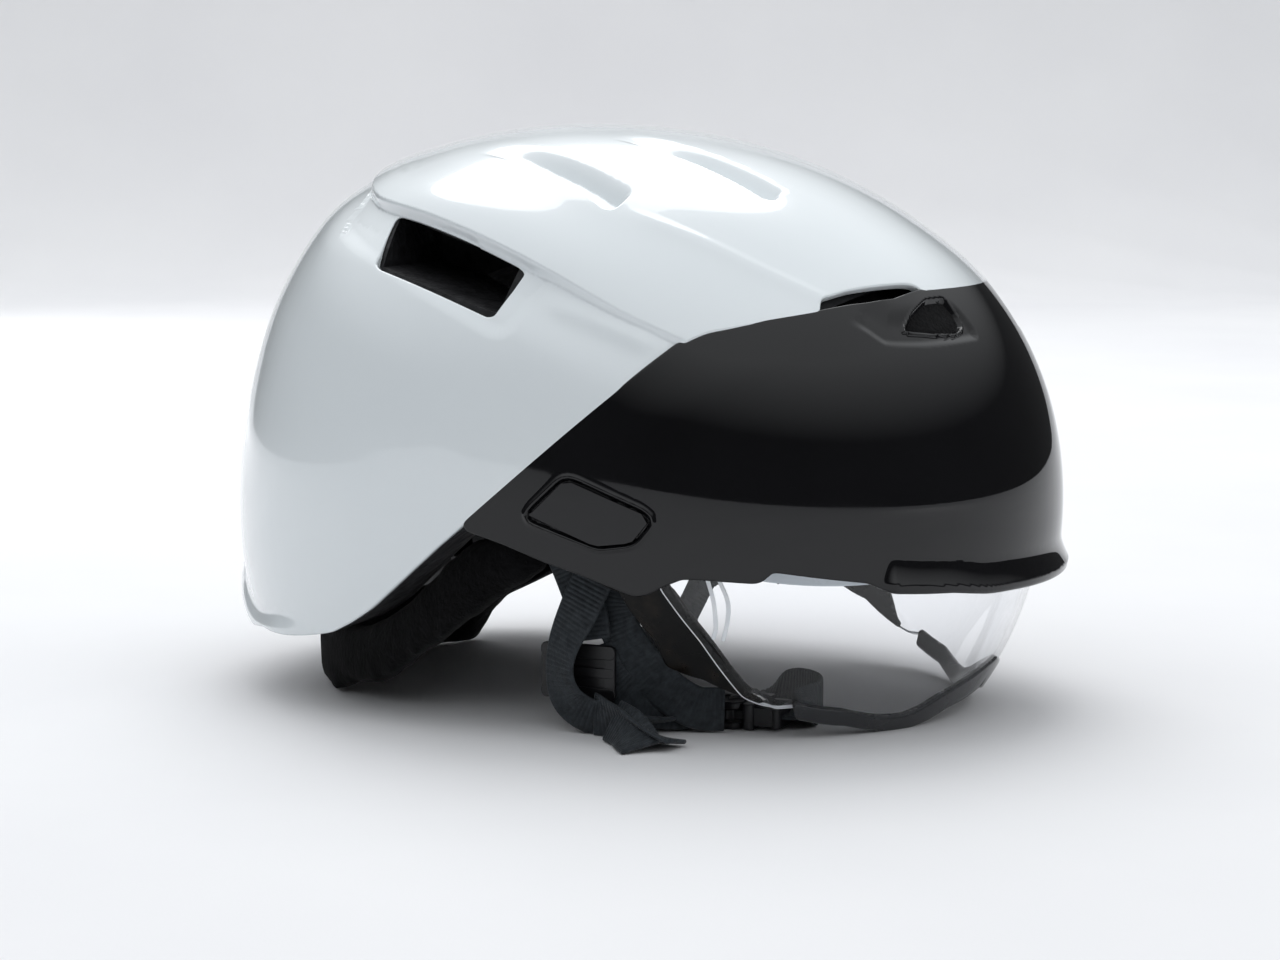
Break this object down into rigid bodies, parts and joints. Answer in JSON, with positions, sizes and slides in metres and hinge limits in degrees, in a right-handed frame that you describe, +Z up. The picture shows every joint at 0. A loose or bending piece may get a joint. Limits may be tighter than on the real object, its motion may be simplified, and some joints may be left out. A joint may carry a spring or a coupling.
{
  "type": "cycling helmet",
  "caption": "Urban cycling helmet with a two-piece glossy shell, a clear swing-up visor, a dial fit band, a fleece neck roll and a buckled chin strap.",
  "frame": {"origin": "centre of the helmet's footprint, on the surface it stands on", "axes": "+X towards the front, +Y towards the wearer's left, +Z up"},
  "size_m": [0.2947, 0.2116, 0.1936],
  "materials": {
    "white_shell": "high gloss moulded shell",
    "black_gloss": "piano black gloss",
    "liner_foam": "black expanded foam",
    "clear_lens": "clear polycarbonate",
    "black_trim": "satin black edge trim",
    "screw_steel": "machined",
    "brass_insert": "turned",
    "black_plastic": "moulded nylon",
    "webbing": "ribbed polyester webbing",
    "pad_fabric": "brushed knit over foam",
    "neck_fleece": "fleece over foam"
  },
  "bodies": {
    "helmet": {"brow_pad": "pad_fabric", "buckle_socket": "black_plastic", "chin_strap_left": "webbing", "cradle": "black_plastic", "cradle_cover": "black_plastic", "crown_pad": "pad_fabric", "foam_liner": "liner_foam", "front_shell": "black_gloss", "front_strap_left": "webbing", "front_strap_right": "webbing", "headband_left": "black_plastic", "headband_right": "black_plastic", "lower_strap_right": "webbing", "neck_pad": "neck_fleece", "outer_shell": "white_shell", "pivot_bush_left": "brass_insert", "pivot_bush_right": "brass_insert", "pivot_cap_left": "black_gloss", "pivot_cap_right": "black_gloss", "pivot_pin_left": "screw_steel", "pivot_pin_right": "screw_steel", "rear_strap_left": "webbing", "rear_strap_right": "webbing", "side_pad_left": "pad_fabric", "side_pad_right": "pad_fabric", "strap_anchors": "black_plastic", "strap_lock_left": "black_plastic", "strap_lock_right": "black_plastic"},
    "visor": {"visor_lens": "clear_lens", "visor_edge_trim": "black_trim", "visor_arm_left": "black_gloss", "visor_arm_right": "black_gloss", "visor_ridge_left": "clear_lens", "visor_ridge_right": "clear_lens"},
    "dial": {"fit_dial": "black_plastic", "dial_pinion": "black_plastic"},
    "rack_left": {"fit_rack_left": "black_plastic"},
    "rack_right": {"fit_rack_right": "black_plastic"},
    "plug": {"buckle_plug": "black_plastic", "chin_strap": "webbing"},
    "lever_left": {"lock_lever_left": "black_plastic"},
    "lever_right": {"lock_lever_right": "black_plastic"}
  },
  "joints": [
    {"name": "visor_hinge", "type": "hinge", "parent": "helmet", "child": "visor", "pos_m": [0.0248, 0, 0.0705], "axis": [0, -1, 0], "range_deg": [0, 36]},
    {"name": "dial_turn", "type": "hinge", "parent": "helmet", "child": "dial", "pos_m": [-0.0948, 0, 0.043], "axis": [1, 0, 0], "range_deg": [-45, 150]},
    {"name": "rack_left_slide", "type": "slide", "parent": "helmet", "child": "rack_left", "axis": [0, -1, 0], "range_m": [-0.005, 0.016]},
    {"name": "rack_right_slide", "type": "slide", "parent": "helmet", "child": "rack_right", "axis": [0, 1, 0], "range_m": [-0.005, 0.016]},
    {"name": "buckle_release", "type": "slide", "parent": "helmet", "child": "plug", "axis": [1, 0, 0], "range_m": [0, 0.01]},
    {"name": "lock_lever_left_hinge", "type": "hinge", "parent": "helmet", "child": "lever_left", "pos_m": [0.011, 0.0764, 0.045], "axis": [1, 0, 0], "range_deg": [-70, 0]},
    {"name": "lock_lever_right_hinge", "type": "hinge", "parent": "helmet", "child": "lever_right", "pos_m": [0.011, -0.0764, 0.025], "axis": [-1, 0, 0], "range_deg": [-70, 0]}
  ],
  "couplings": [
    {"joint": "rack_left_slide", "follows": "dial_turn", "m_per_rad": 0.006},
    {"joint": "rack_right_slide", "follows": "dial_turn", "m_per_rad": 0.006}
  ]
}
